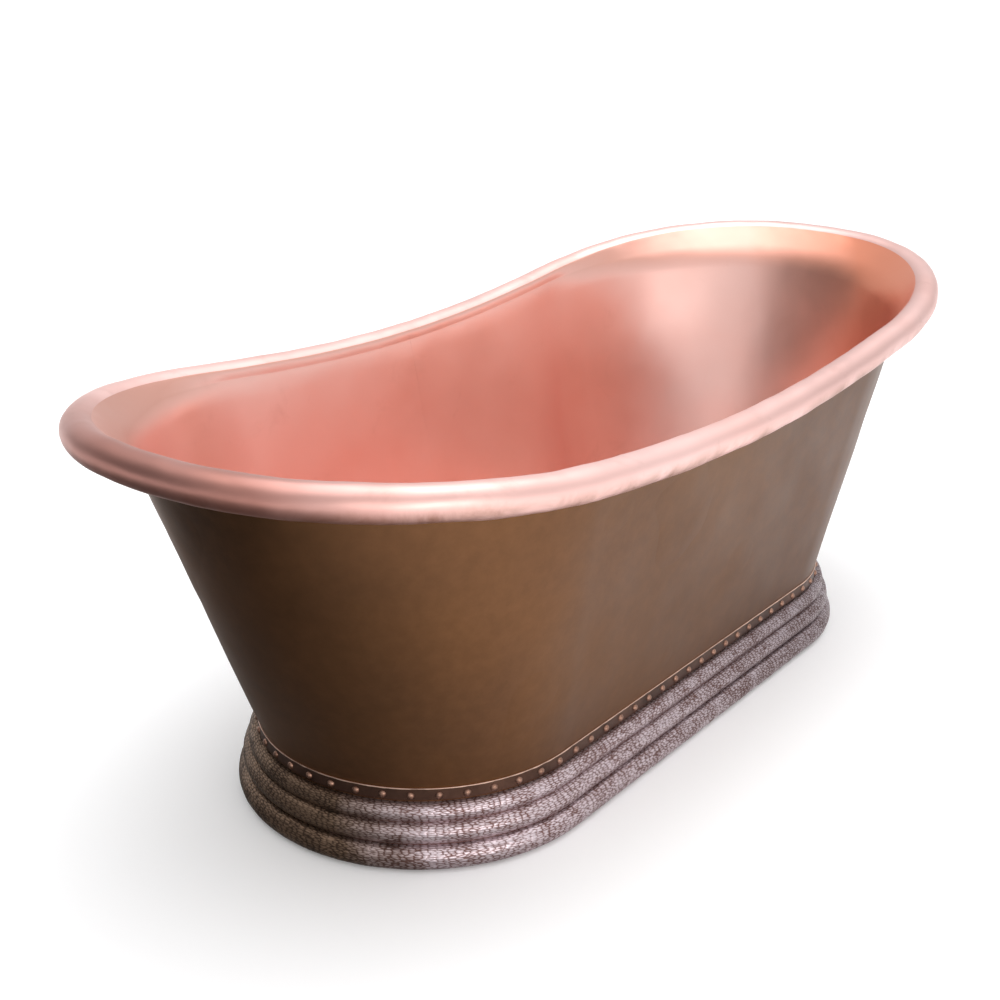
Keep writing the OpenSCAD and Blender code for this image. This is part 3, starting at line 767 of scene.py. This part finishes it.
dress(make_rim(), "rim_copper", "rim_roll")
dress(make_basin_wall(0), "natural_copper", "basin_wall_1")
dress(make_basin_wall(1), "natural_copper", "basin_wall_2")
dress(make_basin_floor(), "natural_copper", "basin_floor")
dress(make_jacket(), "patina_copper", "jacket")
dress(make_skirt(), "hammered_copper", "plinth_skirt")
dress(make_band(), "band_copper", "rivet_band")
dress(make_rivets(), "rivet_copper", "rivets")


# ---------- floor, light and camera ----------

def card(name, size, z=0.0):
    """A level square, from -size to size."""
    corners = [(-size, -size, z), (size, -size, z), (size, size, z), (-size, size, z)]
    mesh = bpy.data.meshes.new(name)
    mesh.from_pydata(corners, [], [(0, 1, 2, 3)])
    obj = bpy.data.objects.new(name, mesh)
    bpy.context.scene.collection.objects.link(obj)
    return obj


def make_floor():
    """A plain pale floor, just below the tub."""
    floor = card("floor", 40.0, -0.0005)
    s = Shader("floor")
    tone = s.mix(s.noise(0.6, 3.0), (0.93, 0.93, 0.93), (0.95, 0.95, 0.95))
    s.put(s.surface, "Emission Color", (1, 1, 1, 1))
    s.put(s.surface, "Emission Strength", 0.10)
    floor.data.materials.append(s.finish(tone, 0.0, 0.7))


# The sky's parts, each with the cosines from and to which its brightness changes towards a direction,
# and its brightness at each. SKY is about the zenith.
SKY = (0.74, 1.0, 0.90, 2.5)
DIM_SIDE, DIM = (-0.70, 0.68, 0.20), (0.68, 0.97, 1.0, 0.20)
BRIGHT_SIDE, BRIGHT = (0.60, -0.25, 0.76), (0.85, 0.98, 0.0, 0.45)


def look_from(place, target):
    """Places a camera or light at a point, facing another."""
    ahead = (Vector(target) - Vector(place)).normalized()
    return Matrix.Translation(place) @ ahead.to_track_quat("-Z", "Y").to_matrix().to_4x4()


def softbox(name, place, target, width, height, power, color):
    """A rectangular studio light: sizes in metres, power in watts."""
    light = bpy.data.lights.new(name, "AREA")
    light.shape = "RECTANGLE"
    light.size, light.size_y = width, height
    light.energy = power
    light.color = color
    obj = bpy.data.objects.new(name, light)
    obj.matrix_world = look_from(place, target)
    bpy.context.scene.collection.objects.link(obj)


def make_world():
    """A plain studio sky, brightest overhead, dim beyond the -X end and bright beyond the +X end."""
    world = bpy.data.worlds.new("studio")
    bpy.context.scene.world = world
    world.use_nodes = True
    tree = world.node_tree
    place = tree.nodes.new("ShaderNodeTexCoord").outputs["Generated"]
    background = tree.nodes["Background"]
    background.inputs["Color"].default_value = (0.985, 0.99, 1.0, 1)

    def lobe(direction, near, far, low, high):
        """Changes from low to high as a ray turns towards a direction."""
        towards = tree.nodes.new("ShaderNodeVectorMath")
        towards.operation = "DOT_PRODUCT"
        towards.inputs[1].default_value = Vector(direction).normalized()
        tree.links.new(place, towards.inputs[0])
        fade = tree.nodes.new("ShaderNodeMapRange")
        fade.interpolation_type = "SMOOTHSTEP"
        for key, value in {"From Min": near, "From Max": far, "To Min": low, "To Max": high}.items():
            fade.inputs[key].default_value = value
        tree.links.new(towards.outputs["Value"], fade.inputs["Value"])
        return fade.outputs["Result"]

    def join(operation, one, two):
        node = tree.nodes.new("ShaderNodeMath")
        node.operation = operation
        tree.links.new(one, node.inputs[0])
        tree.links.new(two, node.inputs[1])
        return node.outputs[0]

    sky = join("ADD", lobe((0, 0, 1), *SKY), lobe(BRIGHT_SIDE, *BRIGHT))
    strength = join("MULTIPLY", sky, lobe(DIM_SIDE, *DIM))
    tree.links.new(strength, background.inputs["Strength"])


def make_flag():
    """A dark card on the floor beside the tub's -X end, which only reflections see."""
    flag = card("dark_flag", 2.2)
    flag.location = (-1.45, 0.55, 0.0004)
    s = Shader("dark_flag")
    length = s.node("ShaderNodeVectorMath", {0: s.place}, operation="LENGTH").outputs["Value"]
    fade = s.node("ShaderNodeMapRange", {"Value": length, "From Min": 0.55, "From Max": 1.75,
                                         "To Min": 0.95, "To Max": 0.0}, interpolation_type="SMOOTHSTEP")
    s.put(s.surface, "Alpha", fade.outputs["Result"])
    flag.data.materials.append(s.finish((0.02, 0.018, 0.015, 1), 0.0, 0.9))
    for ray in ("camera", "diffuse", "shadow", "transmission", "volume_scatter"):
        setattr(flag, f"visible_{ray}", False)


make_floor()
make_world()
make_flag()
softbox("overhead", (0.9, 0.1, 3.4), (0, 0, 0.3), 2.6, 2.2, 20, (0.93, 0.96, 1.0))
softbox("window", (-1.7, -3.1, 1.0), (0.2, 0, 0.5), 2.8, 1.1, 26, (1.0, 0.97, 0.95))

# The camera's place in metres, its heading and its downward pitch in radians, and its lens in mm.
EYE = (-1.9978, -1.3960, 1.2885)
HEADING, PITCH, LENS = 0.9139, 0.3703, 54.87


def make_camera():
    """A camera that sees the tub from where the photograph does."""
    data = bpy.data.cameras.new("camera")
    camera = bpy.data.objects.new("camera", data)
    bpy.context.scene.collection.objects.link(camera)
    data.sensor_width = 36.0
    data.lens = LENS
    level = math.cos(PITCH)
    forward = Vector((math.sin(HEADING) * level, math.cos(HEADING) * level, -math.sin(PITCH)))
    camera.matrix_world = look_from(Vector(EYE), Vector(EYE) + forward)
    bpy.context.scene.camera = camera


make_camera()
bpy.context.scene.view_settings.view_transform = "Standard"
